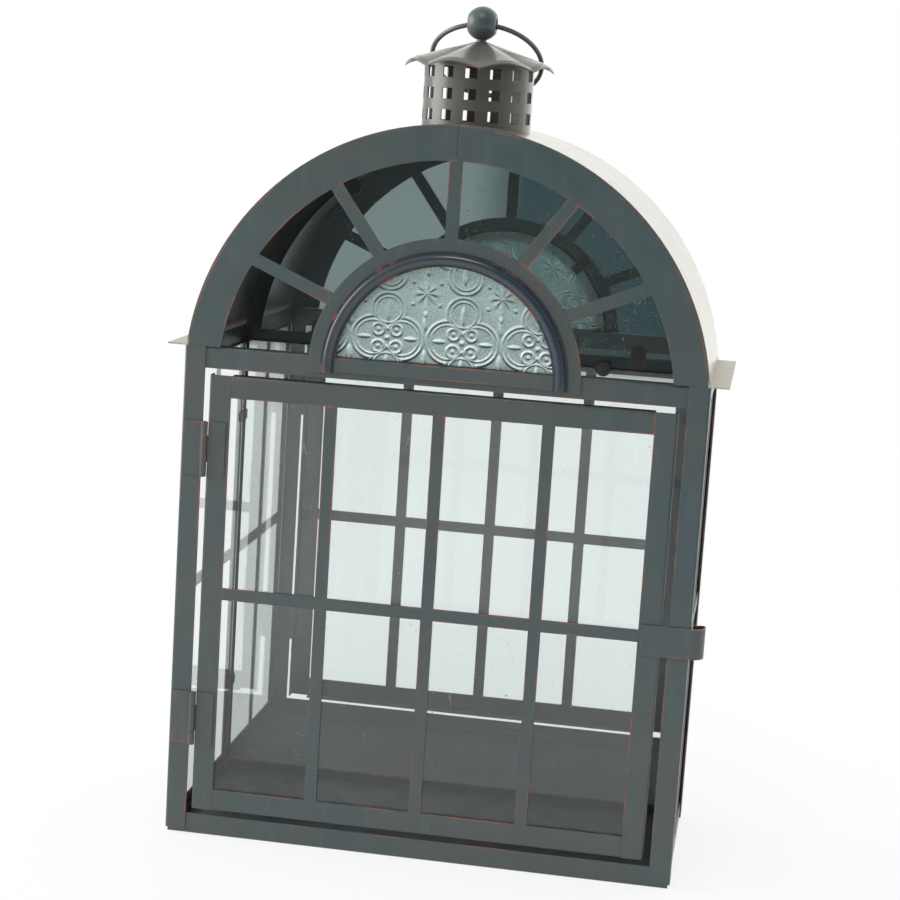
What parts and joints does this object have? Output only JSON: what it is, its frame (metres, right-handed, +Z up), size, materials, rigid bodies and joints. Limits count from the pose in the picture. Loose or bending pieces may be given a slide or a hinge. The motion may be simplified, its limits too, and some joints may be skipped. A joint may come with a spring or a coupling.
{
  "type": "glazed arched lantern",
  "caption": "House-shaped metal and glass lantern with a mirrored back, a barrel vault with an arched fanlight, a hinged glazed door with a spring catch, a pierced chimney with a fluted cap, and a hanging ring.",
  "frame": {"origin": "on the surface the lantern stands on, under the middle of the case", "axes": "+X to the right seen from the door, +Y from the door to the back, +Z up"},
  "size_m": [0.3628, 0.1546, 0.5585],
  "materials": {
    "frame_steel": "aged satin",
    "roof_steel": "aged satin",
    "ring_wire": "worn satin",
    "pin_steel": "dull",
    "clear_glass": "clear",
    "pressed_glass": "pressed pattern",
    "mirror": "aged silvering"
  },
  "bodies": {
    "case": {"floor_pan": "frame_steel", "base_rail_front": "frame_steel", "base_rail_back": "frame_steel", "base_rail_left": "frame_steel", "base_rail_right": "frame_steel", "post_front_left": "frame_steel", "post_front_right": "frame_steel", "post_back_left": "frame_steel", "post_back_right": "frame_steel", "transom_front": "frame_steel", "transom_back": "frame_steel", "eave_rail_left": "frame_steel", "eave_rail_right": "frame_steel", "side_bars_left": "frame_steel", "side_bars_right": "frame_steel", "side_glass_left": "clear_glass", "side_glass_right": "clear_glass", "side_clips": "frame_steel", "back_panel": "frame_steel", "back_mirror": "mirror", "arch_panel": "frame_steel", "arch_mirror": "mirror", "mirror_tabs": "frame_steel", "arch_band_front": "frame_steel", "fan_bars_front": "frame_steel", "lunette_band_front": "frame_steel", "lunette_bezel_front": "frame_steel", "lunette_sill_front": "frame_steel", "lunette_glass_front": "pressed_glass", "lunette_clips": "frame_steel", "vault_shell": "roof_steel", "chimney_drum": "roof_steel", "chimney_cap": "roof_steel", "finial_ball": "frame_steel", "finial_screw": "pin_steel", "hinge_leaf_post_top": "frame_steel", "hinge_leaf_post_low": "frame_steel", "hinge_pin_top": "pin_steel", "hinge_pin_low": "pin_steel"},
    "door": {"door_stile_hinge": "frame_steel", "door_stile_catch": "frame_steel", "door_rail_top": "frame_steel", "door_rail_low": "frame_steel", "door_bars": "frame_steel", "door_glass": "clear_glass", "door_clips": "frame_steel", "hinge_leaf_door_top": "frame_steel", "hinge_leaf_door_low": "frame_steel", "catch_strap": "frame_steel"},
    "ring": {"hanging_ring": "ring_wire"}
  },
  "joints": [
    {"name": "door_hinge", "type": "hinge", "parent": "case", "child": "door", "pos_m": [-0.15425, -0.0744, 0.172], "axis": [0, 0, -1], "range_deg": [0, 175]},
    {"name": "ring_swing", "type": "hinge", "parent": "case", "child": "ring", "pos_m": [0, 0.0023, 0.54751], "axis": [1, 0, 0], "range_deg": [0, 255.2]}
  ]
}
